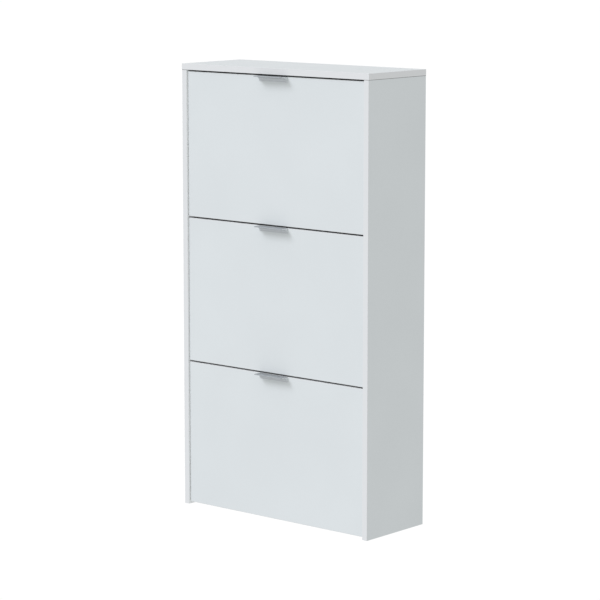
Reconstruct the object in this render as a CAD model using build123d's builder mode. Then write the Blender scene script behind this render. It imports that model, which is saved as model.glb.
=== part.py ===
from build123d import *

import os
from math import cos, radians, sin

# A free-standing shoe cabinet with three flaps that tilt out one above the other.
# Millimetres. The origin is on the floor, at the middle of the cabinet's bounding box.
# +X is to the cabinet's right as seen from the front, -Y is the front and +Z is up.

# ---- Carcass boards ----
cabinet_width = 600.0
side_depth = 219.0
side_height = 1110.0
board = 15.0
top_overhang = 1.0
edge_round = 0.8
back_thickness = 3.0
back_lap = 8.0
back_play = 0.5
back_recess = 1.0

# ---- Doors ----
door_height = 364.0
door_gap = 4.0
floor_gap = 6.0
door_side_gap = 1.0
door_recess = 4.0

# ---- Handle: an aluminium finger pull ----
handle_width = 90.0
handle_reach = 24.0
handle_drop = 13.0
handle_wall = 2.0
handle_scoop_height = 10.0
handle_scoop_reach = 14.0
handle_corner = 2.5
handle_screw_spacing = 64.0
handle_screw_drop = 5.5
handle_thread_depth = 3.0
handle_screw_radius = 2.0
handle_screw_head_radius = 4.0
handle_screw_head_height = 2.4

# ---- Flap hinge and stop, measured from the door's back face and bottom edge ----
pivot_behind_door = 5.0
pivot_height = 80.0
opening_angle = 48.0
stop_radius = 62.0
stop_angle = 30.0
pivot_pin_radius = 4.0
pivot_play = 0.06
stop_pin_radius = 3.5
stop_play = 0.5

# ---- Pivot plates: steel, let into the inner faces of the side panels ----
plate_thickness = 1.5
plate_pocket_depth = 1.0
plate_pocket_play = 0.1
plate_radius = 12.0
pivot_pin_length = 8.0
stop_pin_length = 6.0
plate_screw_along = (18.0, 31.0, 44.0)
plate_screw_across = (7.0, -7.0, 7.0)
plate_screw_radius = 1.6
plate_screw_head_radius = 3.0
plate_screw_depth = 11.0

# ---- Rack cheeks: moulded plastic ----
cheek_play = 1.0
cheek_wall = 3.0
cheek_radius = 170.0
cheek_bottom = 68.0
cheek_front_top = 158.0
cheek_corner = 14.0
cheek_rear_low = -22.0
cheek_rear_high = 31.0
flange_width = 18.0
flange_wall = 3.0
boss_radius = 9.5
boss_length = 6.0
rib = 2.5
lip_depth = 6.0
channel_depth = 10.0
channel_play = 0.25
cheek_screw_heights = (-45.0, 12.0, 82.0, 144.0)
cheek_screw_radius = 1.75
cheek_screw_head_radius = 3.6
cheek_screw_head_height = 2.0
cheek_screw_depth = 11.0

# ---- Rack boards ----
shelf_thickness = 8.0
shelf_tilt = 10.0
shelf_play = 0.3
front_shelf_start = (-1.6, -64.0)
front_shelf_depth = 119.0
front_stop_height = 58.0
rear_shelf_start = (64.0, 37.0)
rear_shelf_depth = 78.0
rear_stop_height = 40.0

# ---- Rails ----
cross_rail_depth = 60.0
cross_rail_setback = 6.0
cross_rail_drop = 4.0
hanging_rail_height = 70.0
middle_rail_height = 70.0
middle_rail_bottom = 520.0
base_rail_height = 60.0

# ---- Plays shared by the fasteners ----
shank_play = 0.05
screw_play = 0.2

# ---- Knock-down fittings ----
cam_radius = 7.5
cam_depth = 12.5
cam_backset = 24.0
cam_play = 0.1
cam_bolt_thread_radius = 2.5
cam_bolt_thread_depth = 11.0
cam_bolt_radius = 3.0
cam_bolt_bore_radius = 4.0
cam_bolt_neck_radius = 1.8
cam_bolt_head_length = 3.5
cam_bolt_neck_length = 2.5
cam_pocket_radius = 3.6
dowel_radius = 4.0
dowel_face_depth = 12.0
dowel_edge_depth = 18.0
dowel_chamfer = 1.0
side_cam_y = (-58.0, 78.0)
side_dowel_y = (-84.0, 10.0, 104.0)
rail_cam_offset = -14.0
rail_dowel_offset = 16.0

# ---- Back panel nails ----
nail_radius = 0.8
nail_length = 16.0
nail_head_radius = 1.8
nail_head_height = 0.8
nail_pitch = 180.0
nails_per_side = 6
rail_nail_x = (-180.0, 0.0, 180.0)

# ---- Wall brackets and the holes for the wall screws ----
bracket_spacing = 440.0
bracket_width = 24.0
bracket_leg = 40.0
bracket_wall = 2.0
wall_hole_radius = 2.75
wall_hole_drop = 28.0
bracket_screw_reach = 20.0
bracket_screw_offset = 6.5
bracket_screw_radius = 1.75
bracket_screw_depth = 11.0
bracket_screw_head_radius = 3.4
bracket_screw_head_height = 2.0

# ---- Derived places ----
half_width = cabinet_width / 2
inner_x = half_width - board
overall_depth = side_depth + handle_reach - door_recess
back_y = overall_depth / 2
front_y = back_y - side_depth
panel_back_y = back_y - back_recess
rail_back_y = panel_back_y - back_thickness
rebate_depth = back_thickness + back_recess
rail_front_y = rail_back_y - board
door_front_y = front_y + door_recess
door_back_y = door_front_y + board
door_width = cabinet_width - 2 * board - 2 * door_side_gap
pivot_y = door_back_y + pivot_behind_door
plate_seat_x = inner_x + plate_pocket_depth
plate_face_x = plate_seat_x - plate_thickness
cheek_outer_x = plate_face_x - cheek_play
cheek_inner_x = cheek_outer_x - cheek_wall
shelf_length = 2 * (cheek_inner_x - shelf_play)
cross_rail_front_y = door_back_y + cross_rail_setback
floor_names = ("lower", "middle", "upper")
door_bottoms = {
    name: floor_gap + level * (door_height + door_gap)
    for level, name in enumerate(floor_names)
}
cross_rail_tops = {
    "lower": door_bottoms["middle"] - door_gap - cross_rail_drop,
    "upper": door_bottoms["upper"] - door_gap - cross_rail_drop,
}
sides = {"left": -1, "right": 1}


def save(builder, name):
    """Label a finished piece and write its STEP file."""
    builder.part.label = name
    export_step(builder.part, f"parts/{name}.step")


def flap_point(name, behind, above):
    """The (y, z) of a point given from a flap's pivot."""
    return (pivot_y + behind, door_bottoms[name] + pivot_height + above)


# ---- Where the board joints are ----
# Each joint is a plane on the contact face: its z axis points from the board that takes the
# bolt's thread into the board that holds the cam, and its x axis points to the cam's face.


def top_joints(y_places):
    """Joints between the top panel and the upper ends of the side panels."""
    return [
        Plane(origin=(side * (half_width - board / 2), y, side_height), x_dir=(-side, 0, 0), z_dir=(0, 0, -1))
        for side in sides.values()
        for y in y_places
    ]


def flat_rail_joints(top_z, offset):
    """Joints between a flat cross rail and the two side panels."""
    y = cross_rail_front_y + cross_rail_depth / 2 + offset
    z = top_z - board / 2
    return [
        Plane(origin=(side * inner_x, y, z), x_dir=(0, 0, -1), z_dir=(-side, 0, 0))
        for side in sides.values()
    ]


def upright_rail_joints(middle_z, offset):
    """Joints between an upright back rail and the two side panels."""
    y = rail_back_y - board / 2
    z = middle_z + offset
    return [
        Plane(origin=(side * inner_x, y, z), x_dir=(0, -1, 0), z_dir=(-side, 0, 0))
        for side in sides.values()
    ]


hanging_rail_z = side_height - hanging_rail_height / 2
middle_rail_z = middle_rail_bottom + middle_rail_height / 2
base_rail_z = base_rail_height / 2


def rail_joints(offset):
    """The joints of all five rails at one offset from each rail's middle."""
    joints = {
        f"{name}_cross_rail": flat_rail_joints(top_z, offset)
        for name, top_z in cross_rail_tops.items()
    }
    joints["hanging_rail"] = upright_rail_joints(hanging_rail_z, offset)
    joints["middle_back_rail"] = upright_rail_joints(middle_rail_z, offset)
    joints["base_rail"] = upright_rail_joints(base_rail_z, offset)
    return joints


top_cam_joints = top_joints(side_cam_y)
top_dowel_joints = top_joints(side_dowel_y)
rail_cam_joints = rail_joints(rail_cam_offset)
rail_dowel_joints = rail_joints(rail_dowel_offset)
all_cam_joints = top_cam_joints + [plane for planes in rail_cam_joints.values() for plane in planes]
all_dowel_joints = top_dowel_joints + [plane for planes in rail_dowel_joints.values() for plane in planes]


# ---- Where the screws and nails are ----


def plate_axis_point(along, across):
    """A point on a pivot plate, measured along and across its line from pivot to stop pin."""
    angle = radians(stop_angle)
    return (along * cos(angle) - across * sin(angle), along * sin(angle) + across * cos(angle))


def plate_screw_places(name):
    """The (y, z) places of the screws of one flap's pivot plates."""
    spots = [plate_axis_point(along, across) for along, across in zip(plate_screw_along, plate_screw_across)]
    return [flap_point(name, behind, above) for behind, above in spots]


nail_side_x = inner_x + back_lap / 2
lowest_nail_z = (side_height - (nails_per_side - 1) * nail_pitch) / 2
nail_heights = [lowest_nail_z + row * nail_pitch for row in range(nails_per_side)]
nail_places = [(side * nail_side_x, z) for side in sides.values() for z in nail_heights]
nail_places += [(x, side_height + back_lap / 2) for x in rail_nail_x]
nail_places += [(x, z) for x in rail_nail_x for z in (middle_rail_z, base_rail_z)]
bracket_x = {name: side * bracket_spacing / 2 for name, side in sides.items()}
wall_hole_z = side_height - wall_hole_drop
bracket_screw_y = rail_front_y - bracket_screw_reach


# ---- Shared cuts ----


def bore_back_nails():
    """Holes in a board for every back panel nail, entering from the rear."""
    with Locations(Plane(origin=(0, panel_back_y, 0), x_dir=(1, 0, 0), z_dir=(0, 1, 0))):
        with Locations(*[(x, -z, 0) for x, z in nail_places]):
            Cylinder(
                nail_radius,
                nail_length,
                align=(Align.CENTER, Align.CENTER, Align.MAX),
                mode=Mode.SUBTRACT,
            )


def bore_thread_side(cam_joints, dowel_joints):
    """Bolt and dowel holes in the board on the thread's side of each joint."""
    with Locations(*[plane.location for plane in cam_joints]):
        Cylinder(
            cam_bolt_thread_radius,
            cam_bolt_thread_depth,
            align=(Align.CENTER, Align.CENTER, Align.MAX),
            mode=Mode.SUBTRACT,
        )
    with Locations(*[plane.location for plane in dowel_joints]):
        Cylinder(
            dowel_radius,
            dowel_face_depth,
            align=(Align.CENTER, Align.CENTER, Align.MAX),
            mode=Mode.SUBTRACT,
        )


def bore_cam_side(cam_joints, dowel_joints):
    """Cam pockets, bolt bores and dowel holes in the board on the cam's side of each joint."""
    with Locations(*[plane.location for plane in cam_joints]):
        Cylinder(
            cam_bolt_bore_radius,
            cam_backset,
            align=(Align.CENTER, Align.CENTER, Align.MIN),
            mode=Mode.SUBTRACT,
        )
    with Locations(*[cam_face_plane(plane).location for plane in cam_joints]):
        Cylinder(
            cam_radius,
            cam_depth,
            align=(Align.CENTER, Align.CENTER, Align.MAX),
            mode=Mode.SUBTRACT,
        )
    with Locations(*[plane.location for plane in dowel_joints]):
        Cylinder(
            dowel_radius,
            dowel_edge_depth,
            align=(Align.CENTER, Align.CENTER, Align.MIN),
            mode=Mode.SUBTRACT,
        )


def cam_face_plane(joint):
    """The plane of a cam's slotted face, looking out of the board."""
    origin = joint.origin + joint.z_dir * cam_backset + joint.x_dir * (board / 2)
    return Plane(origin=origin, x_dir=joint.z_dir, z_dir=joint.x_dir)


# ---- Carcass boards ----


def make_side_panel(name):
    """A side panel, with its rear rebate, its pivot plate pockets and the bores for its fittings."""
    side = sides[name]
    top_cams = [plane for plane in top_cam_joints if plane.origin.X * side > 0]
    top_dowels = [plane for plane in top_dowel_joints if plane.origin.X * side > 0]
    rail_cams = [plane for plane in all_cam_joints[len(top_cam_joints):] if plane.origin.X * side > 0]
    rail_dowels = [plane for plane in all_dowel_joints[len(top_dowel_joints):] if plane.origin.X * side > 0]
    with BuildPart() as panel:
        with BuildSketch():
            with Locations((side * (half_width - board / 2), (front_y + back_y) / 2)):
                Rectangle(board, side_depth)
        extrude(amount=side_height)
        fillet(panel.edges().filter_by(Axis.Z).group_by(Axis.Y)[0], edge_round)
        with Locations((side * (inner_x + back_lap / 2), back_y - rebate_depth / 2, side_height / 2)):
            Box(back_lap, rebate_depth, side_height, mode=Mode.SUBTRACT)
        bore_cam_side(top_cams, top_dowels)
        bore_thread_side(rail_cams, rail_dowels)
        for floor_name in floor_names:
            with BuildSketch(side_plane(side, inner_x)):
                plate_outline(floor_name, side, plate_pocket_play)
            extrude(amount=-plate_pocket_depth, mode=Mode.SUBTRACT)
            pilot_plane = Plane(origin=(side * plate_seat_x, 0, 0), x_dir=(0, 1, 0), z_dir=(-side, 0, 0))
            with Locations(pilot_plane):
                with Locations(*[(y, -side * z) for y, z in plate_screw_places(floor_name)]):
                    Cylinder(
                        plate_screw_radius,
                        plate_screw_depth,
                        align=(Align.CENTER, Align.CENTER, Align.MAX),
                        mode=Mode.SUBTRACT,
                    )
        bore_back_nails()
    save(panel, f"{name}_side_panel")


def make_top_panel():
    """The top panel, lying on the side panels, with a rebate for the back panel below."""
    with BuildPart() as panel:
        with BuildSketch(Plane.XY.offset(side_height)):
            with Locations((0, (front_y + back_y) / 2)):
                Rectangle(cabinet_width + 2 * top_overhang, side_depth)
        extrude(amount=board)
        fillet(panel.edges().filter_by(Axis.Z), edge_round)
        fillet(panel.faces().sort_by(Axis.Z)[-1].edges(), edge_round / 2)
        with Locations((0, back_y - rebate_depth / 2, side_height + back_lap / 2)):
            Box(2 * (inner_x + back_lap), rebate_depth, back_lap, mode=Mode.SUBTRACT)
        bore_thread_side(top_cam_joints, top_dowel_joints)
        with Locations(*[(x, y, side_height) for x, y in bracket_screw_places()]):
            Cylinder(
                bracket_screw_radius,
                bracket_screw_depth,
                align=(Align.CENTER, Align.CENTER, Align.MIN),
                mode=Mode.SUBTRACT,
            )
        bore_back_nails()
    save(panel, "top_panel")


def make_back_panel():
    """The thin back panel, lying in the rebates, with the wall screw and nail holes."""
    panel_width = 2 * (inner_x + back_lap - back_play)
    panel_height = side_height + back_lap - 2 * back_play
    with BuildPart() as panel:
        with BuildSketch(Plane.XZ.offset(-rail_back_y)):
            with Locations((0, back_play + panel_height / 2)):
                Rectangle(panel_width, panel_height)
        extrude(amount=-back_thickness)
        bore_wall_holes()
        bore_back_nails()
    save(panel, "back_panel")


def bore_wall_holes():
    """The two wall screw holes, right through whatever stands at the back."""
    with Locations(Plane(origin=(0, back_y, wall_hole_z), x_dir=(1, 0, 0), z_dir=(0, 1, 0))):
        with Locations(*[(x, 0) for x in bracket_x.values()]):
            Cylinder(wall_hole_radius, side_depth / 2, mode=Mode.SUBTRACT)


def make_cross_rails():
    """The flat rails behind the joints between the doors."""
    for name, top_z in cross_rail_tops.items():
        with BuildPart() as rail:
            with Locations((0, cross_rail_front_y + cross_rail_depth / 2, top_z - board / 2)):
                Box(2 * inner_x, cross_rail_depth, board)
            fillet(rail.edges().filter_by(Axis.X), edge_round)
            bore_cam_side(rail_cam_joints[f"{name}_cross_rail"], rail_dowel_joints[f"{name}_cross_rail"])
        save(rail, f"{name}_cross_rail")


def make_back_rail(name, middle_z, height):
    """An upright rail against the back panel."""
    with BuildPart() as rail:
        with Locations((0, rail_back_y - board / 2, middle_z)):
            Box(2 * inner_x, board, height)
        fillet(rail.edges().filter_by(Axis.X).group_by(Axis.Y)[0], edge_round)
        bore_cam_side(rail_cam_joints[name], rail_dowel_joints[name])
        bore_back_nails()
        if name == "hanging_rail":
            bore_wall_holes()
    save(rail, name)


# ---- Knock-down fittings ----


def cam_bolt_template():
    """One cam bolt along +Z, with its thread below the joint's plane."""
    shank_end = cam_backset - cam_bolt_neck_length / 2 - 1
    profile = [
        (0, -cam_bolt_thread_depth),
        (cam_bolt_thread_radius - cam_play, -cam_bolt_thread_depth),
        (cam_bolt_thread_radius - cam_play, 0),
        (cam_bolt_radius, 0),
        (cam_bolt_radius, shank_end),
        (cam_bolt_neck_radius, shank_end),
        (cam_bolt_neck_radius, shank_end + cam_bolt_neck_length),
        (cam_bolt_radius, shank_end + cam_bolt_neck_length),
        (cam_bolt_radius, shank_end + cam_bolt_neck_length + cam_bolt_head_length),
        (0, shank_end + cam_bolt_neck_length + cam_bolt_head_length),
    ]
    with BuildPart() as bolt:
        with BuildSketch(Plane.XZ):
            with BuildLine():
                Polyline(*profile, close=True)
            make_face()
        revolve(axis=Axis.Z)
    return bolt.part


def cam_template():
    """One cam along +Z, its slotted face on the plane z = 0 and its bolt pocket towards -X."""
    slot_length = 1.5 * cam_radius
    slot_width = 1.6
    slot_depth = 2.5
    with BuildPart() as cam:
        Cylinder(cam_radius - cam_play, cam_depth, align=(Align.CENTER, Align.CENTER, Align.MAX))
        with BuildSketch():
            Rectangle(slot_length, slot_width)
            Rectangle(slot_width, slot_length)
        extrude(amount=-slot_depth, mode=Mode.SUBTRACT)
        with Locations(Plane(origin=(0, 0, -board / 2), x_dir=(0, 1, 0), z_dir=(-1, 0, 0))):
            Cylinder(
                cam_pocket_radius,
                2 * cam_radius + cam_bolt_head_length,
                align=(Align.CENTER, Align.CENTER, Align.CENTER),
                mode=Mode.SUBTRACT,
            )
    return cam.part


def dowel_template():
    """One dowel along +Z, its lower part in the board below the joint's plane."""
    with BuildPart() as dowel:
        with Locations((0, 0, -dowel_face_depth)):
            Cylinder(
                dowel_radius - shank_play,
                dowel_face_depth + dowel_edge_depth - dowel_chamfer,
                align=(Align.CENTER, Align.CENTER, Align.MIN),
            )
        chamfer(dowel.edges().filter_by(GeomType.CIRCLE), dowel_chamfer)
    return dowel.part


def make_repeats(name, template, locations):
    """A node of identical separate solids, one at each location."""
    with BuildPart() as group:
        with Locations(*locations):
            add(template)
    save(group, name)


def make_board_fittings():
    """The bolts, cams and dowels of every board joint."""
    make_repeats("cam_bolts", cam_bolt_template(), [plane.location for plane in all_cam_joints])
    make_repeats("cam_locks", cam_template(), [cam_face_plane(plane).location for plane in all_cam_joints])
    make_repeats("dowels", dowel_template(), [plane.location for plane in all_dowel_joints])


def nail_template():
    """One nail, its head's underside on the plane z = 0 and its shank towards -Z."""
    with BuildPart() as nail:
        Cylinder(nail_radius - shank_play, nail_length, align=(Align.CENTER, Align.CENTER, Align.MAX))
        Cylinder(nail_head_radius, nail_head_height, align=(Align.CENTER, Align.CENTER, Align.MIN))
    return nail.part


# ---- Wall brackets ----


def bracket_screw_places():
    """The (x, y) places of the bracket screws in the top panel."""
    return [
        (x + offset, bracket_screw_y)
        for x in bracket_x.values()
        for offset in (-bracket_screw_offset, bracket_screw_offset)
    ]


def make_wall_bracket(name):
    """An angle bracket in the corner between the top panel and the hanging rail."""
    with BuildPart() as bracket:
        with BuildSketch(Plane.YZ.offset(bracket_x[name] - bracket_width / 2)):
            with BuildLine():
                Polyline(
                    (rail_front_y, side_height),
                    (rail_front_y - bracket_leg, side_height),
                    (rail_front_y - bracket_leg, side_height - bracket_wall),
                    (rail_front_y - bracket_wall, side_height - bracket_wall),
                    (rail_front_y - bracket_wall, side_height - bracket_leg),
                    (rail_front_y, side_height - bracket_leg),
                    close=True,
                )
            make_face()
        extrude(amount=bracket_width)
        bend_corner = (bracket_x[name], rail_front_y - bracket_wall, side_height - bracket_wall)
        bend = bracket.edges().filter_by(Axis.X).sort_by_distance(bend_corner)[0]
        fillet(bend, bracket_wall)
        bore_wall_holes()
        with Locations(*[(x, y, side_height) for x, y in bracket_screw_places()]):
            Cylinder(bracket_screw_radius + screw_play, 2 * bracket_wall, mode=Mode.SUBTRACT)
    save(bracket, f"{name}_wall_bracket")


def pan_screw_template(radius, depth, head_radius, head_height, through):
    """A pan-head screw: head above z = 0, shank of the given depth plus what it passes through."""
    recess_width = 1.0
    with BuildPart() as screw:
        Cylinder(radius, depth + through, align=(Align.CENTER, Align.CENTER, Align.MAX))
        Cylinder(head_radius, head_height, align=(Align.CENTER, Align.CENTER, Align.MIN))
        fillet(screw.edges().group_by(Axis.Z)[-1], head_height / 2)
        with BuildSketch(Plane.XY.offset(head_height)):
            Rectangle(head_radius, recess_width)
            Rectangle(recess_width, head_radius)
        extrude(amount=-head_height / 2, mode=Mode.SUBTRACT)
    return screw.part


def make_bracket_screws():
    """The screws that hold the wall brackets up against the top panel."""
    screw = pan_screw_template(
        bracket_screw_radius - shank_play,
        bracket_screw_depth,
        bracket_screw_head_radius,
        bracket_screw_head_height,
        bracket_wall,
    )
    head_z = side_height - bracket_wall
    planes = [Plane(origin=(x, y, head_z), z_dir=(0, 0, -1)) for x, y in bracket_screw_places()]
    make_repeats("wall_bracket_screws", screw, [plane.location for plane in planes])


# ---- Pivot plates ----


def side_plane(side, face_x):
    """A plane on the inner face at face_x: x runs along +Y and z points into the cabinet."""
    return Plane(origin=(side * face_x, 0, 0), x_dir=(0, 1, 0), z_dir=(-side, 0, 0))


def on_side(side, points):
    """Points given as (y, z), turned into a side plane's own coordinates."""
    return [(y, -side * z) for y, z in points]


def plate_outline(floor_name, side, play):
    """A pivot plate's outline, grown by play, drawn in a sketch on a side_plane."""
    middle = flap_point(floor_name, *plate_axis_point(stop_radius / 2, 0))
    with Locations(*on_side(side, [middle])):
        SlotCenterToCenter(stop_radius, 2 * (plate_radius + play), rotation=-side * stop_angle)


def make_pivot_plate(floor_name, side_name):
    """A steel plate with a riveted pivot pin and stop pin."""
    side = sides[side_name]
    pivot = flap_point(floor_name, 0, 0)
    stop = flap_point(floor_name, *plate_axis_point(stop_radius, 0))
    with BuildPart() as plate:
        with BuildSketch(side_plane(side, plate_seat_x)):
            plate_outline(floor_name, side, 0)
        extrude(amount=plate_thickness)
        with Locations(side_plane(side, plate_face_x)):
            with Locations(*on_side(side, [pivot])):
                Cylinder(pivot_pin_radius, pivot_pin_length, align=(Align.CENTER, Align.CENTER, Align.MIN))
            with Locations(*on_side(side, [stop])):
                Cylinder(stop_pin_radius, stop_pin_length, align=(Align.CENTER, Align.CENTER, Align.MIN))
            with Locations(*on_side(side, plate_screw_places(floor_name))):
                Cone(
                    plate_screw_radius,
                    plate_screw_head_radius + cam_play,
                    plate_thickness,
                    align=(Align.CENTER, Align.CENTER, Align.MAX),
                    mode=Mode.SUBTRACT,
                )
        pin_ends = plate.faces().filter_by(Axis.X).sort_by(Axis.X)
        end_faces = pin_ends[:2] if side > 0 else pin_ends[-2:]
        chamfer(end_faces.edges(), edge_round)
    save(plate, f"{floor_name}_{side_name}_pivot_plate")


def plate_screw_template():
    """A countersunk screw, its head flush with the plane z = 0 and its shank towards -Z."""
    recess_width = 0.9
    shank_radius = plate_screw_radius - shank_play
    with BuildPart() as screw:
        Cone(
            shank_radius,
            plate_screw_head_radius,
            plate_thickness,
            align=(Align.CENTER, Align.CENTER, Align.MAX),
        )
        with Locations((0, 0, -plate_thickness)):
            Cylinder(shank_radius, plate_screw_depth, align=(Align.CENTER, Align.CENTER, Align.MAX))
        with BuildSketch():
            Rectangle(plate_screw_head_radius, recess_width)
            Rectangle(recess_width, plate_screw_head_radius)
        extrude(amount=-plate_thickness / 2, mode=Mode.SUBTRACT)
    return screw.part


def make_plate_screws():
    """The screws of all six pivot plates."""
    locations = []
    for side in sides.values():
        for floor_name in floor_names:
            for y, z in plate_screw_places(floor_name):
                place = Plane(origin=(side * plate_face_x, y, z), x_dir=(0, 1, 0), z_dir=(-side, 0, 0))
                locations.append(place.location)
    make_repeats("pivot_plate_screws", plate_screw_template(), locations)


# ---- Doors and handles ----


def door_top(name):
    """The height of a door's top edge."""
    return door_bottoms[name] + door_height


def make_door(name):
    """A door board, drilled for the handle screws and the cheek screws."""
    cheek_screws = [
        (side * flange_screw_x(), y, z)
        for side in sides.values()
        for y, z in flange_screw_spots(name)
    ]
    with BuildPart() as door:
        with Locations((0, (door_front_y + door_back_y) / 2, door_bottoms[name] + door_height / 2)):
            Box(door_width, board, door_height)
        fillet(door.edges(), edge_round)
        with Locations(handle_screw_plane(name, door_back_y)):
            with Locations(*handle_screw_spots()):
                Cylinder(
                    handle_screw_radius + screw_play,
                    board,
                    align=(Align.CENTER, Align.CENTER, Align.MAX),
                    mode=Mode.SUBTRACT,
                )
        with Locations(*cheek_screws):
            Cylinder(
                cheek_screw_radius,
                cheek_screw_depth,
                rotation=(90, 0, 0),
                align=(Align.CENTER, Align.CENTER, Align.MIN),
                mode=Mode.SUBTRACT,
            )
    save(door, f"{name}_door")


def handle_screw_plane(name, face_y):
    """An upright plane at face_y, at the height of the handle screws, looking backwards."""
    screw_z = door_top(name) - handle_screw_drop
    return Plane(origin=(0, face_y, screw_z), x_dir=(1, 0, 0), z_dir=(0, 1, 0))


def handle_screw_spots():
    """The handle screws' places along a handle."""
    return [(-handle_screw_spacing / 2, 0), (handle_screw_spacing / 2, 0)]


def flange_screw_x():
    """How far out the cheek screws are: the middle of the free part of the cheek's flange."""
    return cheek_inner_x - (flange_width - cheek_wall) / 2


def make_handle(name):
    """A finger pull: a thin lip level with the door's top, a hollow below it and a fixing flange."""
    top_z = door_top(name)
    tip_y = door_front_y - handle_reach
    wall_y = door_front_y - handle_wall
    scoop_y = wall_y - handle_scoop_reach
    scoop_z = top_z - handle_wall - handle_scoop_height
    with BuildPart() as handle:
        with BuildSketch(Plane.YZ.offset(-handle_width / 2)):
            with BuildLine():
                Line((door_front_y, top_z - handle_drop), (door_front_y, top_z))
                Line((door_front_y, top_z), (tip_y + handle_wall / 2, top_z))
                CenterArc((tip_y + handle_wall / 2, top_z - handle_wall / 2), handle_wall / 2, 90, 180)
                Line((tip_y + handle_wall / 2, top_z - handle_wall), (scoop_y, top_z - handle_wall))
                EllipticalCenterArc((scoop_y, scoop_z), handle_scoop_reach, handle_scoop_height, arc_size=90)
                Line((wall_y, scoop_z), (wall_y, top_z - handle_drop))
                Line((wall_y, top_z - handle_drop), (door_front_y, top_z - handle_drop))
            make_face()
        extrude(amount=handle_width)
        with BuildSketch(Plane.XY.offset(top_z - handle_drop)) as plan:
            with Locations((0, door_front_y - handle_reach / 2)):
                Rectangle(handle_width, handle_reach)
            fillet(plan.vertices().group_by(Axis.Y)[0], handle_corner)
        extrude(amount=handle_drop, mode=Mode.INTERSECT)
        with Locations(handle_screw_plane(name, door_front_y)):
            with Locations(*handle_screw_spots()):
                Cylinder(
                    handle_screw_radius,
                    handle_thread_depth,
                    align=(Align.CENTER, Align.CENTER, Align.MAX),
                    mode=Mode.SUBTRACT,
                )
    save(handle, f"{name}_handle")


def make_handle_screws(name):
    """The two screws that hold a handle from behind the door."""
    screw = pan_screw_template(
        handle_screw_radius - shank_play,
        handle_thread_depth,
        handle_screw_head_radius,
        handle_screw_head_height,
        board,
    )
    face = handle_screw_plane(name, door_back_y)
    places = [face.location * Location((x, y, 0)) for x, y in handle_screw_spots()]
    make_repeats(f"{name}_handle_screws", screw, places)


# ---- Rack cheeks and boards, drawn from the pivot: (behind, above) ----


def slope_frame(start, tilt):
    """A function that turns (along, up) of a tilted board into (behind, above)."""
    angle = radians(tilt)

    def place(along, up):
        return (
            start[0] + along * cos(angle) - up * sin(angle),
            start[1] + along * sin(angle) + up * cos(angle),
        )

    return place


front_shelf_frame = slope_frame(front_shelf_start, shelf_tilt)
rear_shelf_frame = slope_frame(rear_shelf_start, shelf_tilt)
front_stop_frame = slope_frame(front_shelf_frame(front_shelf_depth, shelf_thickness), shelf_tilt + 90)
rear_stop_frame = slope_frame(rear_shelf_frame(rear_shelf_depth, shelf_thickness), shelf_tilt + 90)
rack_boards = {
    "front_shelf": (front_shelf_frame, front_shelf_depth),
    "front_heel_stop": (front_stop_frame, front_stop_height),
    "rear_shelf": (rear_shelf_frame, rear_shelf_depth),
    "rear_heel_stop": (rear_stop_frame, rear_stop_height),
}


def board_outline(frame, length, low, high):
    """The four corners of a tilted board's section, between two heights over its lower face."""
    return [frame(0, low), frame(length, low), frame(length, high), frame(0, high)]


def make_rack_board(floor_name, board_name):
    """A shelf or heel stop, held at both ends in the cheeks' channels."""
    frame, length = rack_boards[board_name]
    corners = [flap_point(floor_name, *point) for point in board_outline(frame, length, 0, shelf_thickness)]
    with BuildPart() as shelf:
        with BuildSketch(Plane.YZ.offset(-shelf_length / 2)):
            with BuildLine():
                Polyline(*corners, close=True)
            make_face()
        extrude(amount=shelf_length)
        fillet(shelf.edges().filter_by(Axis.X), edge_round)
    save(shelf, f"{floor_name}_{board_name}")


def cheek_outline(floor_name):
    """Draw a cheek's outline: straight at the door and the base, round about the pivot behind."""
    low = radians(cheek_rear_low)
    high = radians(cheek_rear_high)
    middle = (low + high) / 2
    front_bottom = flap_point(floor_name, -pivot_behind_door, -cheek_bottom)
    front_top = flap_point(floor_name, -pivot_behind_door, cheek_front_top)
    rear_low = flap_point(floor_name, cheek_radius * cos(low), cheek_radius * sin(low))
    rear_middle = flap_point(floor_name, cheek_radius * cos(middle), cheek_radius * sin(middle))
    rear_high = flap_point(floor_name, cheek_radius * cos(high), cheek_radius * sin(high))
    Line(front_top, front_bottom)
    Line(front_bottom, rear_low)
    ThreePointArc(rear_low, rear_middle, rear_high)
    Line(rear_high, front_top)


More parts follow.
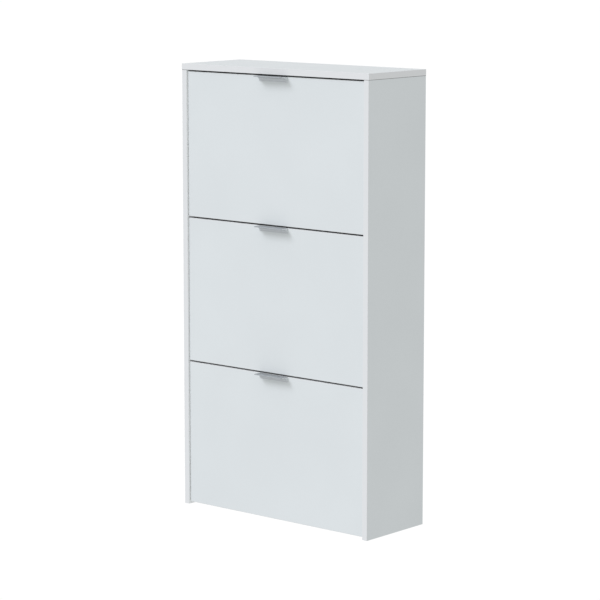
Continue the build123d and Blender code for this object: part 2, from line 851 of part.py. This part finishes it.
def make_cheek(floor_name, side_name):
    """One side of the shoe rack, with its door flange, bearing boss, stop slot and channels."""
    side = sides[side_name]
    outer = side * cheek_outer_x
    inner = side * cheek_inner_x
    pivot = flap_point(floor_name, 0, 0)
    slot_start = stop_angle - opening_angle
    with BuildPart() as cheek:
        with BuildSketch(Plane.YZ.offset(outer)) as outline:
            with BuildLine():
                cheek_outline(floor_name)
            make_face()
            fillet(outline.vertices().sort_by(Axis.X)[2:], cheek_corner)
        extrude(amount=-side * cheek_wall)
        with BuildSketch(Plane.YZ.offset(inner)):
            add(outline.sketch_local)
            offset(outline.sketch_local, amount=-rib, mode=Mode.SUBTRACT)
        extrude(amount=-side * lip_depth)
        with BuildSketch(Plane.YZ.offset(inner)):
            for frame, length in rack_boards.values():
                for low in (-rib, shelf_thickness + channel_play):
                    corners = board_outline(frame, length, low, low + rib)
                    with BuildLine():
                        Polyline(*[flap_point(floor_name, *point) for point in corners], close=True)
                    make_face()
        extrude(amount=-side * channel_depth)
        with BuildSketch(Plane.YZ.offset(inner)):
            with Locations(pivot):
                Circle(boss_radius)
        extrude(amount=-side * (boss_length - cheek_wall))
        with BuildSketch(Plane.YZ.offset(inner)):
            with BuildLine(mode=Mode.PRIVATE) as slot_line:
                CenterArc(pivot, stop_radius, slot_start, opening_angle)
            SlotArc(slot_line.wire(), 2 * (stop_pin_radius + stop_play + rib))
        extrude(amount=-side * rib)
        with Locations((side * (cheek_outer_x - flange_width / 2), door_back_y, 0)):
            with Locations((0, 0, door_bottoms[floor_name] + pivot_height - cheek_bottom)):
                Box(
                    flange_width,
                    flange_wall,
                    cheek_bottom + cheek_front_top - cheek_corner,
                    align=(Align.CENTER, Align.MIN, Align.MIN),
                )
        for frame, length in rack_boards.values():
            corners = board_outline(frame, length, 0, shelf_thickness)
            with BuildSketch(Plane.YZ.offset(inner)):
                with BuildLine():
                    Polyline(*[flap_point(floor_name, *point) for point in corners], close=True)
                make_face()
            extrude(amount=-side * flange_width, mode=Mode.SUBTRACT)
        with BuildSketch(Plane.YZ.offset(outer)):
            with Locations(pivot):
                Circle(pivot_pin_radius + pivot_play)
            with BuildLine(mode=Mode.PRIVATE) as slot_line:
                CenterArc(pivot, stop_radius, slot_start, opening_angle)
            SlotArc(slot_line.wire(), 2 * (stop_pin_radius + stop_play))
        extrude(amount=-side * flange_width, mode=Mode.SUBTRACT)
        with Locations(*[(side * flange_screw_x(), y, z) for y, z in flange_screw_spots(floor_name)]):
            Cylinder(
                cheek_screw_radius + screw_play,
                2 * channel_depth,
                rotation=(90, 0, 0),
                mode=Mode.SUBTRACT,
            )
        split(bisect_by=Plane(origin=(0, door_back_y, 0), z_dir=(0, 1, 0)), keep=Keep.TOP)
    save(cheek, f"{floor_name}_{side_name}_cheek")


def flange_screw_spots(floor_name):
    """The (y, z) places of one cheek's screws, on the door's back face."""
    return [(door_back_y, flap_point(floor_name, 0, height)[1]) for height in cheek_screw_heights]


def make_cheek_screws(floor_name):
    """The screws that hold both cheeks of a flap to its door."""
    screw = pan_screw_template(
        cheek_screw_radius - shank_play,
        cheek_screw_depth,
        cheek_screw_head_radius,
        cheek_screw_head_height,
        flange_wall,
    )
    head_y = door_back_y + flange_wall
    planes = [
        Plane(origin=(side * flange_screw_x(), head_y, z), x_dir=(1, 0, 0), z_dir=(0, 1, 0))
        for side in sides.values()
        for y, z in flange_screw_spots(floor_name)
    ]
    make_repeats(f"{floor_name}_cheek_screws", screw, [plane.location for plane in planes])


# ---- Build everything ----

os.makedirs("parts", exist_ok=True)

for side_name in sides:
    make_side_panel(side_name)
    make_wall_bracket(side_name)
make_top_panel()
make_back_panel()
make_cross_rails()
make_back_rail("hanging_rail", hanging_rail_z, hanging_rail_height)
make_back_rail("middle_back_rail", middle_rail_z, middle_rail_height)
make_back_rail("base_rail", base_rail_z, base_rail_height)
make_board_fittings()
nail_planes = [Plane(origin=(x, panel_back_y, z), x_dir=(1, 0, 0), z_dir=(0, 1, 0)) for x, z in nail_places]
make_repeats("back_panel_nails", nail_template(), [plane.location for plane in nail_planes])
make_bracket_screws()
make_plate_screws()

for floor_name in floor_names:
    make_door(floor_name)
    make_handle(floor_name)
    make_handle_screws(floor_name)
    for side_name in sides:
        make_pivot_plate(floor_name, side_name)
        make_cheek(floor_name, side_name)
    for board_name in rack_boards:
        make_rack_board(floor_name, board_name)
    make_cheek_screws(floor_name)
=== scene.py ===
from math import cos, pi, radians, sin

import bpy
from mathutils import Matrix, Vector


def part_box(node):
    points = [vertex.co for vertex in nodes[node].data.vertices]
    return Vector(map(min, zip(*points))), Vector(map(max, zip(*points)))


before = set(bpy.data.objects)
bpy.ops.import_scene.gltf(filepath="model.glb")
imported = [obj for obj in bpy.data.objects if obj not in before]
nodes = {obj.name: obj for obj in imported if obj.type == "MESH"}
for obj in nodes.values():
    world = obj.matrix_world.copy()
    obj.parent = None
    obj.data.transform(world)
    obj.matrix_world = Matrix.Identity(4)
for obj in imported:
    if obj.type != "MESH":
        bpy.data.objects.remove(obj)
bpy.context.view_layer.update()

# The CAD pieces keep their shapes. This script gives each one a material worked out from
# its own box, and adds the camera, the lights and the floor. Lengths are in metres.

floors = ("upper", "middle", "lower")
sides = ("left", "right")
AXES = "xyz"
MM = 0.001

# ---- Camera ----
CAMERA_PLACE = (3.9683, -4.6359, 1.5100)
CAMERA_TURN = 40.543
CAMERA_TILT = 8.567
CAMERA_LENS = 149.145
CAMERA_SENSOR = 36.0
CAMERA_SHIFT_Y = -0.03

# ---- Studio ----
SKY_COLOUR = (1.0, 1.0, 1.0)
SKY_STRENGTH = 0.80
KEY_DIRECTION = (-0.417, -0.626, 0.659)
KEY_COLOUR = (1.0, 1.0, 1.07)
KEY_STRENGTH = 1.487
KEY_ANGLE = 25.0
SWEEP_RADIUS = 30.0
SWEEP_BEND = 12.0
SWEEP_HEIGHT = 40.0
SWEEP_STEPS = 96
BEND_STEPS = 12
SWEEP_BRIGHTNESS = 1.02

# ---- Colours ----
FOIL = (0.650, 0.690, 0.700)
# Painted shade: a slightly darker copy of the foil for the top panel, which sets how bright its
# upward face looks under the lights.
SHADED_TOP_FOIL = (0.630, 0.668, 0.677)
INNER_FOIL = (0.640, 0.668, 0.680)
# Painted light: a whiter foil that lifts the shade on the side panels' inner faces and the
# doors' side edges, in the gaps beside the doors.
PAINTED_LIGHT_FOIL = (0.890, 0.910, 0.915)
BANDING = (0.672, 0.690, 0.697)
GLUE_LINE = (0.40, 0.40, 0.39)
# Partly a dark joint and partly painted shade: the dark line where the top panel sits on a side
# panel.
SEAM_JOINT_AND_SHADE = (0.10, 0.10, 0.10)
CHIP_LIGHT = (0.50, 0.36, 0.21)
CHIP_DARK = (0.17, 0.10, 0.05)
FIBRE_LIGHT = (0.27, 0.155, 0.08)
FIBRE_DARK = (0.15, 0.08, 0.04)
LACQUER = (0.64, 0.66, 0.665)
ALUMINIUM = (0.545, 0.575, 0.597)
# Painted shade: the darker colour on the lip's top and nose, which damps the lip's highlight.
ALUMINIUM_PAINTED_SHADE = (0.371, 0.395, 0.412)
# Partly bare sawn metal and partly painted light: a lighter colour that lifts the shade on the
# handle's end faces.
ALUMINIUM_CUT_AND_LIT = (0.745, 0.77, 0.785)
PLASTIC = (0.105, 0.11, 0.115)
ZINC = (0.56, 0.58, 0.60)
ZINC_DULL = (0.42, 0.44, 0.45)
BEECH_LIGHT = (0.56, 0.36, 0.19)
BEECH_DARK = (0.36, 0.20, 0.09)
BLACK = (0.0, 0.0, 0.0)
WHITE = (1.0, 1.0, 1.0)


# ---- Node helpers ----


def feed(tree, socket, value):
    """Gives an input a plain value, or links it to another node's output."""
    if isinstance(value, bpy.types.NodeSocket):
        tree.links.new(value, socket)
    else:
        socket.default_value = value


def put(tree, kind, inputs, **settings):
    """Adds a node with its settings and inputs."""
    node = tree.nodes.new("ShaderNode" + kind)
    for name, value in settings.items():
        setattr(node, name, value)
    for key, value in inputs.items():
        feed(tree, node.inputs[key], value)
    return node


def calc(tree, operation, *values):
    """One step of arithmetic."""
    return put(tree, "Math", dict(enumerate(values)), operation=operation).outputs[0]


def arrow(tree, operation, *values):
    """One step of vector arithmetic."""
    return put(tree, "VectorMath", dict(enumerate(values)), operation=operation).outputs[0]


def fade(tree, value, start, end, low=0.0, high=1.0):
    """Goes from low to high as the value goes from start to end."""
    inputs = {"Value": value, "From Min": start, "From Max": end, "To Min": low, "To Max": high}
    return put(tree, "MapRange", inputs).outputs[0]


def between(tree, factor, first, second):
    """A number between two others."""
    return put(tree, "Mix", {0: factor, 2: first, 3: second}).outputs[0]


def tint(tree, factor, first, second, blend="MIX"):
    """A colour between two others, or the first blended with the second in another way."""
    pair = [c if isinstance(c, bpy.types.NodeSocket) else (*c, 1) for c in (first, second)]
    inputs = {0: factor, 6: pair[0], 7: pair[1]}
    return put(tree, "Mix", inputs, data_type="RGBA", blend_type=blend).outputs[2]


def scaled(colour, factor):
    """A colour made darker or lighter."""
    return tuple(factor * channel for channel in colour)


def total(tree, *parts):
    """The sum of (number, weight) pairs."""
    added = 0.0
    for value, weight in parts:
        added = calc(tree, "MULTIPLY_ADD", value, weight, added)
    return added


def least(tree, values):
    """The smallest of some numbers."""
    smallest = values[0]
    for value in values[1:]:
        smallest = calc(tree, "MINIMUM", smallest, value)
    return smallest


def squeezed(tree, place, size):
    """The place in units that have a length of their own along each axis."""
    return arrow(tree, "MULTIPLY", place, tuple(1 / length for length in size))


def cloud(tree, place, size, detail=2.0):
    """Soft noise whose blotches are about size across."""
    inputs = {"Vector": place, "Scale": 1 / size, "Detail": detail}
    return put(tree, "TexNoise", inputs).outputs[0]


def stretched(tree, place, size, detail=3.0):
    """Noise whose blotches have a size of their own along each axis."""
    return cloud(tree, squeezed(tree, place, size), 1.0, detail)


def cells(tree, place, size):
    """A random number for each cell of a cracked pattern, and the distance from its middle."""
    node = put(tree, "TexVoronoi", {"Vector": place, "Scale": 1 / size})
    split = put(tree, "SeparateColor", {0: node.outputs["Color"]})
    return split.outputs[0], node.outputs["Distance"]


def depths_in_box(tree, place, low, high):
    """How far a place lies inside each side of a box, by the side's name, such as '+y'."""
    from_low = put(tree, "SeparateXYZ", {0: arrow(tree, "SUBTRACT", place, tuple(low))})
    from_high = put(tree, "SeparateXYZ", {0: arrow(tree, "SUBTRACT", tuple(high), place)})
    depths = {}
    for number, axis in enumerate(AXES):
        depths[f"-{axis}"] = from_low.outputs[number]
        depths[f"+{axis}"] = from_high.outputs[number]
    return depths


class Material:
    """A material in the making: its node tree, its shader and the rest position on the piece."""

    def __init__(self, name):
        self.data = bpy.data.materials.new(name)
        self.data.use_nodes = True
        self.tree = self.data.node_tree
        self.shader = self.tree.nodes["Principled BSDF"]
        self.place = put(self.tree, "TexCoord", {}).outputs["Object"]

    def set(self, **values):
        """Sets the shader's inputs."""
        for name, value in values.items():
            socket = self.shader.inputs[name.replace("_", " ").title().replace("Ior", "IOR")]
            if isinstance(value, tuple):
                value = (*value, 1)
            feed(self.tree, socket, value)

    def relief(self, height, depth):
        """Makes the surface rough with a height map, depth metres from lowest to highest."""
        bump = put(self.tree, "Bump", {"Strength": 1.0, "Distance": depth, "Height": height})
        feed(self.tree, self.shader.inputs["Normal"], bump.outputs[0])

    def wear(self, piece):
        """Puts the material on a piece."""
        piece.data.materials.clear()
        piece.data.materials.append(self.data)


# ---- Board: chipboard under a white melamine foil, with banding on its finished edges ----

FOIL_THICKNESS = 0.35 * MM
FOIL_END = 1.1 * FOIL_THICKNESS
BAND_THICKNESS = 1.0 * MM
JOINT_WIDTH = 0.12 * MM
SEAM_WIDTH = 0.85 * MM
SEAM_END = 1.2 * SEAM_WIDTH
PAINTED_LIGHT_END = 0.12 * MM
PAINTED_LIGHT_START = 0.03 * MM
CORNER_WEAR = 2.5 * MM
FOIL_DRIFT = 160 * MM
FOIL_SHEEN = 50 * MM
FOIL_PEARL = 0.9 * MM
FOIL_GRIT = 0.25 * MM
FOIL_ROUGHNESS = 0.33
FOIL_RELIEF_SHARE = 0.12
BOARD_RELIEF = 0.35 * MM
CHIP_LENGTH = 4.5 * MM
CHIP_THICKNESS = 1.0 * MM
CHIP_BEND = 1.6 * MM
CHIP_GRAIN = 0.6 * MM
CHIP_ROUGHNESS = 0.85
FINE_CHIP = 0.4
FINE_LAYER = 2.0 * MM
CORE_START = 4.0 * MM


def turned_box(piece, turn):
    """The corners of a piece's box in axes turned about X."""
    rotation = Matrix.Rotation(turn, 3, "X")
    points = [rotation @ vertex.co for vertex in piece.data.vertices]
    low = Vector([min(point[axis] for point in points) for axis in range(3)])
    high = Vector([max(point[axis] for point in points) for axis in range(3)])
    return low, high


def chipboard(tree, place, thin, from_face):
    """Bare chipboard: flakes lying flat in the board, coarse in its core, fine near its faces.

    Gives the colour and the height.
    """
    flake = [CHIP_LENGTH] * 3
    flake[thin] = CHIP_THICKNESS
    noise = {"Vector": place, "Scale": 1 / CHIP_LENGTH, "Detail": 2.0}
    wobble = put(tree, "TexNoise", noise).outputs[1]
    bent = arrow(tree, "MULTIPLY_ADD", wobble, (CHIP_BEND,) * 3, place)
    flat = squeezed(tree, bent, flake)
    coarse, coarse_middle = cells(tree, flat, 1.0)
    fine, fine_middle = cells(tree, flat, FINE_CHIP)
    core = fade(tree, from_face, FINE_LAYER, CORE_START)
    chip = between(tree, core, fine, coarse)
    from_middle = between(tree, core, fine_middle, coarse_middle)
    grain = cloud(tree, place, CHIP_GRAIN, 3.0)
    shade = total(tree, (chip, 0.5), (grain, 0.6), (from_middle, -0.25))
    colour = tint(tree, fade(tree, shade, 0.10, 0.75), CHIP_DARK, CHIP_LIGHT)
    return colour, total(tree, (chip, 0.4), (grain, 0.4), (from_middle, -0.4))


def foil_and_band(tree, place, from_edge, foil, band):
    """The foil's faint pearl texture, the banding and the glue line between them.

    Gives the colour, the roughness and the height.
    """
    drift = cloud(tree, place, FOIL_DRIFT, 1.0)
    pearl = cloud(tree, place, FOIL_PEARL)
    grit = cloud(tree, place, FOIL_GRIT, 1.0)
    sheen = cloud(tree, place, FOIL_SHEEN)
    shade = total(tree, (drift, 0.2), (pearl, 0.5), (grit, 0.3))
    face = tint(tree, fade(tree, shade, 0.40, 0.60), scaled(foil, 0.960), scaled(foil, 1.015))
    on_band = fade(tree, from_edge, BAND_THICKNESS + JOINT_WIDTH, BAND_THICKNESS)
    off_line = calc(tree, "ABSOLUTE", calc(tree, "SUBTRACT", from_edge, BAND_THICKNESS))
    line = fade(tree, off_line, JOINT_WIDTH, 0.0, 0.0, 0.5)
    colour = tint(tree, line, tint(tree, on_band, face, band), GLUE_LINE)
    corner = fade(tree, from_edge, CORNER_WEAR, 0.0)
    rubbed = calc(tree, "MULTIPLY", corner, fade(tree, sheen, 0.5, 0.7))
    roughness = total(tree, (sheen, 0.12), (rubbed, 0.12), (1.0, FOIL_ROUGHNESS))
    height = total(tree, (pearl, 0.6), (grit, 0.25), (line, -0.6))
    return colour, roughness, height


def board(name, bare, foil=FOIL, band=BANDING, turn=0.0, butted=None, painted_light_sides=()):
    """A melamine board, whose own axes are turned about X from the piece's.

    bare lists the sides that show chipboard, such as '+y' for the rear edge. butted is the side
    that another board lies on: the seam between them is a thin dark line, partly a dark joint
    and partly painted shade. The sides in the last list get a whiter foil: painted light that
    lifts the shade on faces that look into the gaps beside the doors.
    """
    piece = nodes[name]
    made = Material(name)
    tree = made.tree
    spin = {"Vector": made.place, "Angle": turn}
    place = put(tree, "VectorRotate", spin, rotation_type="X_AXIS").outputs[0]
    low, high = turned_box(piece, turn)
    depths = depths_in_box(tree, place, low, high)
    thin = min(range(3), key=lambda axis: high[axis] - low[axis])
    faces = (f"-{AXES[thin]}", f"+{AXES[thin]}")
    from_face = least(tree, [depths[side] for side in faces])
    banded = [side for side in depths if side not in faces and side not in bare]
    from_edge = least(tree, [depths[side] for side in banded])
    inside = fade(tree, least(tree, [from_face, from_edge]), FOIL_THICKNESS, FOIL_END)

    skin, skin_roughness, skin_height = foil_and_band(tree, place, from_edge, foil, band)
    # Painted light: these sides get the whiter foil, which lifts the shade in the gaps beside
    # the doors.
    for side in painted_light_sides:
        skin = tint(tree, fade(tree, depths[side], PAINTED_LIGHT_END, PAINTED_LIGHT_START), skin, PAINTED_LIGHT_FOIL)
    if butted:
        # The seam under the top panel: partly a dark joint, partly painted shade in the joint.
        skin = tint(tree, fade(tree, depths[butted], SEAM_END, SEAM_WIDTH), skin, SEAM_JOINT_AND_SHADE)
    skin_height = calc(tree, "MULTIPLY", skin_height, FOIL_RELIEF_SHARE)
    chips, chip_height = chipboard(tree, place, thin, from_face)
    made.set(
        base_color=tint(tree, inside, skin, chips),
        roughness=between(tree, inside, skin_roughness, CHIP_ROUGHNESS),
        specular_ior_level=0.4,
    )
    made.relief(between(tree, inside, skin_height, chip_height), BOARD_RELIEF)
    made.wear(piece)


# ---- Hardboard back: lacquered white inside, bare fibre behind ----

LACQUER_END = 0.15 * MM
LACQUER_START = 0.1 * MM
ROLLER_MARKS = 1.2 * MM
FIBRE_MOTTLE = 22 * MM
FELT_ALONG = (2.4 * MM, 1.0 * MM, 0.9 * MM)
FELT_ACROSS = (0.9 * MM, 1.0 * MM, 3.1 * MM)
FLECK_SIZE = 1.6 * MM
HARDBOARD_RELIEF = 0.12 * MM


def hardboard(name):
    """A hardboard sheet whose front, the -y side, is lacquered."""
    made = Material(name)
    tree = made.tree
    low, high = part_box(name)
    from_front = depths_in_box(tree, made.place, low, high)["-y"]
    bare = fade(tree, from_front, LACQUER_START, LACQUER_END)
    mottle = cloud(tree, made.place, FIBRE_MOTTLE, 4.0)
    felt = stretched(tree, made.place, FELT_ALONG, 4.0)
    cross = stretched(tree, made.place, FELT_ACROSS)
    flecks = fade(tree, cells(tree, made.place, FLECK_SIZE)[0], 0.93, 0.99)
    shade = total(tree, (mottle, 0.5), (felt, 0.35), (cross, 0.3), (flecks, 0.35))
    fibre = tint(tree, fade(tree, shade, 0.40, 0.95), FIBRE_DARK, FIBRE_LIGHT)
    roller = cloud(tree, made.place, ROLLER_MARKS)
    lacquer_roughness = fade(tree, roller, 0.3, 0.7, 0.38, 0.5)
    fibre_roughness = fade(tree, felt, 0.3, 0.7, 0.62, 0.8)
    lacquer_height = calc(tree, "MULTIPLY", roller, 0.15)
    fibre_height = total(tree, (felt, 0.6), (cross, 0.5))
    made.set(
        base_color=tint(tree, bare, LACQUER, fibre),
        roughness=between(tree, bare, lacquer_roughness, fibre_roughness),
        specular_ior_level=0.35,
    )
    made.relief(between(tree, bare, lacquer_height, fibre_height), HARDBOARD_RELIEF)
    made.wear(nodes[name])


# ---- Handle: an aluminium section, brushed along its length and satin anodised ----

BRUSH_LINES = (60 * MM, 0.16 * MM, 0.16 * MM)
BRUSH_BANDS = (250 * MM, 1.3 * MM, 1.3 * MM)
SAW_MARKS = (1000 * MM, 0.35 * MM, 8 * MM)
FINGER_BLOOM = 11 * MM
CUT_END = 0.12 * MM
CUT_START = 0.02 * MM
LIP_END = 2.4 * MM
LIP_START = 1.6 * MM
ALUMINIUM_RELIEF = 0.012 * MM


def aluminium(name):
    """Anodised aluminium with sawn ends. The top and nose of its lip carry painted shade, a
    darker colour in blotches that damps their highlight; the sawn ends carry a lighter colour,
    partly bare metal and partly painted light.
    """
    made = Material(name)
    tree = made.tree
    low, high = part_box(name)
    depths = depths_in_box(tree, made.place, low, high)
    lines = stretched(tree, made.place, BRUSH_LINES)
    bands = stretched(tree, made.place, BRUSH_BANDS, 2.0)
    saw = stretched(tree, made.place, SAW_MARKS, 2.0)
    bloom = cloud(tree, made.place, FINGER_BLOOM)
    cut = fade(tree, least(tree, [depths["-x"], depths["+x"]]), CUT_END, CUT_START)
    on_lip = fade(tree, depths["+z"], LIP_END, LIP_START)
    # Painted shade: the lip's top and nose get a darker colour in blotches, which damps the
    # lip's highlight; the same mask also makes them rougher.
    handled = calc(tree, "MULTIPLY", on_lip, fade(tree, bloom, 0.2, 0.5, 0.8, 1.0))
    metal = tint(tree, handled, ALUMINIUM, ALUMINIUM_PAINTED_SHADE)
    dull = tint(tree, 1.0, metal, scaled(WHITE, 0.88), "MULTIPLY")
    brushed = fade(tree, total(tree, (lines, 0.45), (bands, 0.55)), 0.35, 0.65)
    # The sawn ends: partly bare metal, partly painted light that lifts their shade.
    metal = tint(tree, cut, tint(tree, brushed, dull, metal), ALUMINIUM_CUT_AND_LIT)
    rough = total(tree, (lines, 0.12), (bloom, 0.08), (handled, 0.06), (cut, 0.15), (1.0, 0.36))
    made.set(base_color=metal, metallic=0.5, roughness=rough)
    brush_height = total(tree, (lines, 0.8), (bands, 0.2))
    made.relief(between(tree, cut, brush_height, saw), ALUMINIUM_RELIEF)
    made.wear(nodes[name])


# ---- Rack cheeks: moulded plastic with an eroded texture ----

SPARK_SIZE = 0.32 * MM
PIT_SIZE = 0.45 * MM
FLOW_SIZE = (30 * MM, 90 * MM, 30 * MM)
HANDLING_SIZE = 18 * MM
PLASTIC_RELIEF = 0.05 * MM


def moulded_plastic(name):
    """Dark plastic from a spark-eroded mould, with faint flow marks."""
    made = Material(name)
    tree = made.tree
    spark = cloud(tree, made.place, SPARK_SIZE, 3.0)
    pits = cells(tree, made.place, PIT_SIZE)[1]
    flow = stretched(tree, made.place, FLOW_SIZE, 2.0)
    handled = cloud(tree, made.place, HANDLING_SIZE, 3.0)
    shade = fade(tree, total(tree, (flow, 0.7), (spark, 0.4)), 0.40, 0.70)
    colour = tint(tree, shade, PLASTIC, scaled(PLASTIC, 1.14))
    rough = total(tree, (spark, 0.14), (handled, 0.12), (1.0, 0.40))
    made.set(base_color=colour, roughness=rough, specular_ior_level=0.45)
    made.relief(total(tree, (spark, 0.7), (pits, 0.35)), PLASTIC_RELIEF)
    made.wear(nodes[name])


# ---- Zinc-plated steel: plates, screws, nails, cams and brackets ----

ROLLED_SHEET = (0.9 * MM, 25 * MM, 0.25 * MM)
DRAWN_WIRE = (0.3 * MM, 0.3 * MM, 0.3 * MM)
SPANGLE_SIZE = 2.4 * MM
STAIN_SIZE = 7 * MM
ORANGE_PEEL = 0.4 * MM
ZINC_RELIEF = 0.015 * MM


def zinc_steel(name, grain):
    """Plated steel. grain is how far its rolling marks run along each axis."""
    made = Material(name)
    tree = made.tree
    rolled = stretched(tree, made.place, grain)
    spangle = cells(tree, made.place, SPANGLE_SIZE)[0]
    stain = cloud(tree, made.place, STAIN_SIZE, 3.0)
    orange_peel = cloud(tree, made.place, ORANGE_PEEL)
    shade = total(tree, (rolled, 0.45), (spangle, 0.2), (stain, 0.45))
    colour = tint(tree, fade(tree, shade, 0.35, 0.75), ZINC_DULL, ZINC)
    rough = total(tree, (rolled, 0.14), (stain, 0.16), (1.0, 0.20))
    made.set(base_color=colour, metallic=1.0, roughness=rough)
    made.relief(total(tree, (rolled, 0.6), (orange_peel, 0.5)), ZINC_RELIEF)
    made.wear(nodes[name])


# ---- Beech dowels ----

GROWTH_RINGS = (6 * MM, 0.8 * MM, 6 * MM)
PORES = (1.5 * MM, 0.25 * MM, 1.5 * MM)
RAY_SIZE = 0.9 * MM
BEECH_RELIEF = 0.06 * MM


def beech(name):
    """Turned beech with growth rings, pores and dark ray flecks."""
    made = Material(name)
    tree = made.tree
    growth = stretched(tree, made.place, GROWTH_RINGS)
    pores = stretched(tree, made.place, PORES)
    rays = fade(tree, cells(tree, made.place, RAY_SIZE)[0], 0.9, 0.98)
    shade = total(tree, (growth, 0.6), (pores, 0.4), (rays, -0.2))
    colour = tint(tree, fade(tree, shade, 0.35, 0.65), BEECH_DARK, BEECH_LIGHT)
    rough = fade(tree, pores, 0.3, 0.7, 0.55, 0.72)
    made.set(base_color=colour, roughness=rough, specular_ior_level=0.35)
    made.relief(total(tree, (pores, 0.6), (growth, 0.3)), BEECH_RELIEF)
    made.wear(nodes[name])


# ---- The pieces ----

SHELF_TURN = radians(-10.0)


def dress_carcass():
    """Gives the pieces that stand still their materials."""
    for side, inner in zip(sides, ("+x", "-x")):
        # The inner face gets the painted-light foil, which lifts the shade in the gap beside the
        # doors.
        board(f"{side}_side_panel", bare=("+y", "-z", "+z"), butted="+z", painted_light_sides=(inner,))
        zinc_steel(f"{side}_wall_bracket", ROLLED_SHEET)
    # The top panel wears the darker copy of the foil, as painted shade on its upward face.
    board("top_panel", bare=("+y",), foil=SHADED_TOP_FOIL)
    for name in ("upper_cross_rail", "lower_cross_rail"):
        board(name, bare=("+y", "-x", "+x"))
    board("hanging_rail", bare=("-x", "+x", "+z"))
    board("middle_back_rail", bare=("-x", "+x"))
    board("base_rail", bare=("-x", "+x", "-z"))
    hardboard("back_panel")
    beech("dowels")
    fittings = ("cam_locks", "cam_bolts")
    fixings = ("wall_bracket_screws", "back_panel_nails", "pivot_plate_screws")
    for name in fittings + fixings:
        zinc_steel(name, DRAWN_WIRE)


def dress_flap(level):
    """Gives one flap's pieces, and the plates that it hangs on, their materials."""
    # The door's side edges get the painted-light foil, which lifts the shade in the gaps beside
    # them.
    board(f"{level}_door", bare=(), painted_light_sides=("-x", "+x"))
    aluminium(f"{level}_handle")
    for name in ("handle_screws", "cheek_screws"):
        zinc_steel(f"{level}_{name}", DRAWN_WIRE)
    for side in sides:
        moulded_plastic(f"{level}_{side}_cheek")
        zinc_steel(f"{level}_{side}_pivot_plate", ROLLED_SHEET)
    for name in ("front_shelf", "front_heel_stop", "rear_shelf", "rear_heel_stop"):
        board(
            f"{level}_{name}",
            bare=("-x", "+x"),
            foil=INNER_FOIL,
            band=INNER_FOIL,
            turn=SHELF_TURN,
        )


# ---- Camera, lights and floor ----


def add_object(name, data):
    """Puts a new object in the scene."""
    made = bpy.data.objects.new(name, data)
    bpy.context.scene.collection.objects.link(made)
    return made


def make_camera():
    """A long lens, looking slightly down at the front and the right side."""
    data = bpy.data.cameras.new("camera")
    data.lens = CAMERA_LENS
    data.sensor_width = CAMERA_SENSOR
    data.shift_y = CAMERA_SHIFT_Y
    camera = add_object("camera", data)
    camera.location = CAMERA_PLACE
    camera.rotation_euler = (radians(90 - CAMERA_TILT), 0, radians(CAMERA_TURN))
    bpy.context.scene.camera = camera


def make_lights():
    """An even sky for the soft light, and a wide key light high on the left of the doors."""
    world = bpy.data.worlds.new("studio")
    world.use_nodes = True
    sky = world.node_tree.nodes["Background"]
    sky.inputs["Color"].default_value = (*SKY_COLOUR, 1)
    sky.inputs["Strength"].default_value = SKY_STRENGTH
    bpy.context.scene.world = world
    data = bpy.data.lights.new("key", "SUN")
    data.energy = KEY_STRENGTH
    data.color = KEY_COLOUR
    data.angle = radians(KEY_ANGLE)
    key = add_object("key", data)
    key.rotation_euler = Vector(KEY_DIRECTION).to_track_quat("Z", "Y").to_euler()


def sweep_profile():
    """The studio sweep's section, from its middle out: flat floor, quarter bend, upright."""
    flat = SWEEP_RADIUS - SWEEP_BEND
    points = [(flat, 0.0)]
    for step in range(1, BEND_STEPS + 1):
        angle = step / BEND_STEPS * pi / 2
        points.append((flat + SWEEP_BEND * sin(angle), SWEEP_BEND * (1 - cos(angle))))
    points.append((SWEEP_RADIUS, SWEEP_HEIGHT))
    return points


def make_sweep():
    """The sweep's mesh: the profile turned right round, with its middle closed."""
    profile = sweep_profile()
    vertices = [(0.0, 0.0, 0.0)]
    faces = []
    for radius, height in profile:
        for step in range(SWEEP_STEPS):
            angle = 2 * pi * step / SWEEP_STEPS
            vertices.append((radius * cos(angle), radius * sin(angle), height))
    for step in range(SWEEP_STEPS):
        after = (step + 1) % SWEEP_STEPS
        faces.append((0, 1 + step, 1 + after))
        for ring in range(len(profile) - 1):
            first = 1 + ring * SWEEP_STEPS
            second = first + SWEEP_STEPS
            faces.append((first + step, second + step, second + after, first + after))
    mesh = bpy.data.meshes.new("floor")
    mesh.from_pydata(vertices, [], faces)
    mesh.shade_smooth()
    return mesh


def make_floor():
    """A white floor that sweeps up all round, bright enough to read as paper.

    Only the camera sees it: it takes no shadow and throws no light on the cabinet.
    """
    floor = add_object("floor", make_sweep())
    floor.visible_diffuse = False
    floor.visible_glossy = False
    floor.visible_shadow = False
    made = Material("floor")
    made.set(base_color=BLACK, roughness=1.0, specular_ior_level=0.0)
    made.set(emission_color=WHITE, emission_strength=SWEEP_BRIGHTNESS)
    made.wear(floor)


make_camera()
make_lights()
make_floor()
dress_carcass()
for level in floors:
    dress_flap(level)
bpy.context.scene.view_settings.view_transform = "Standard"
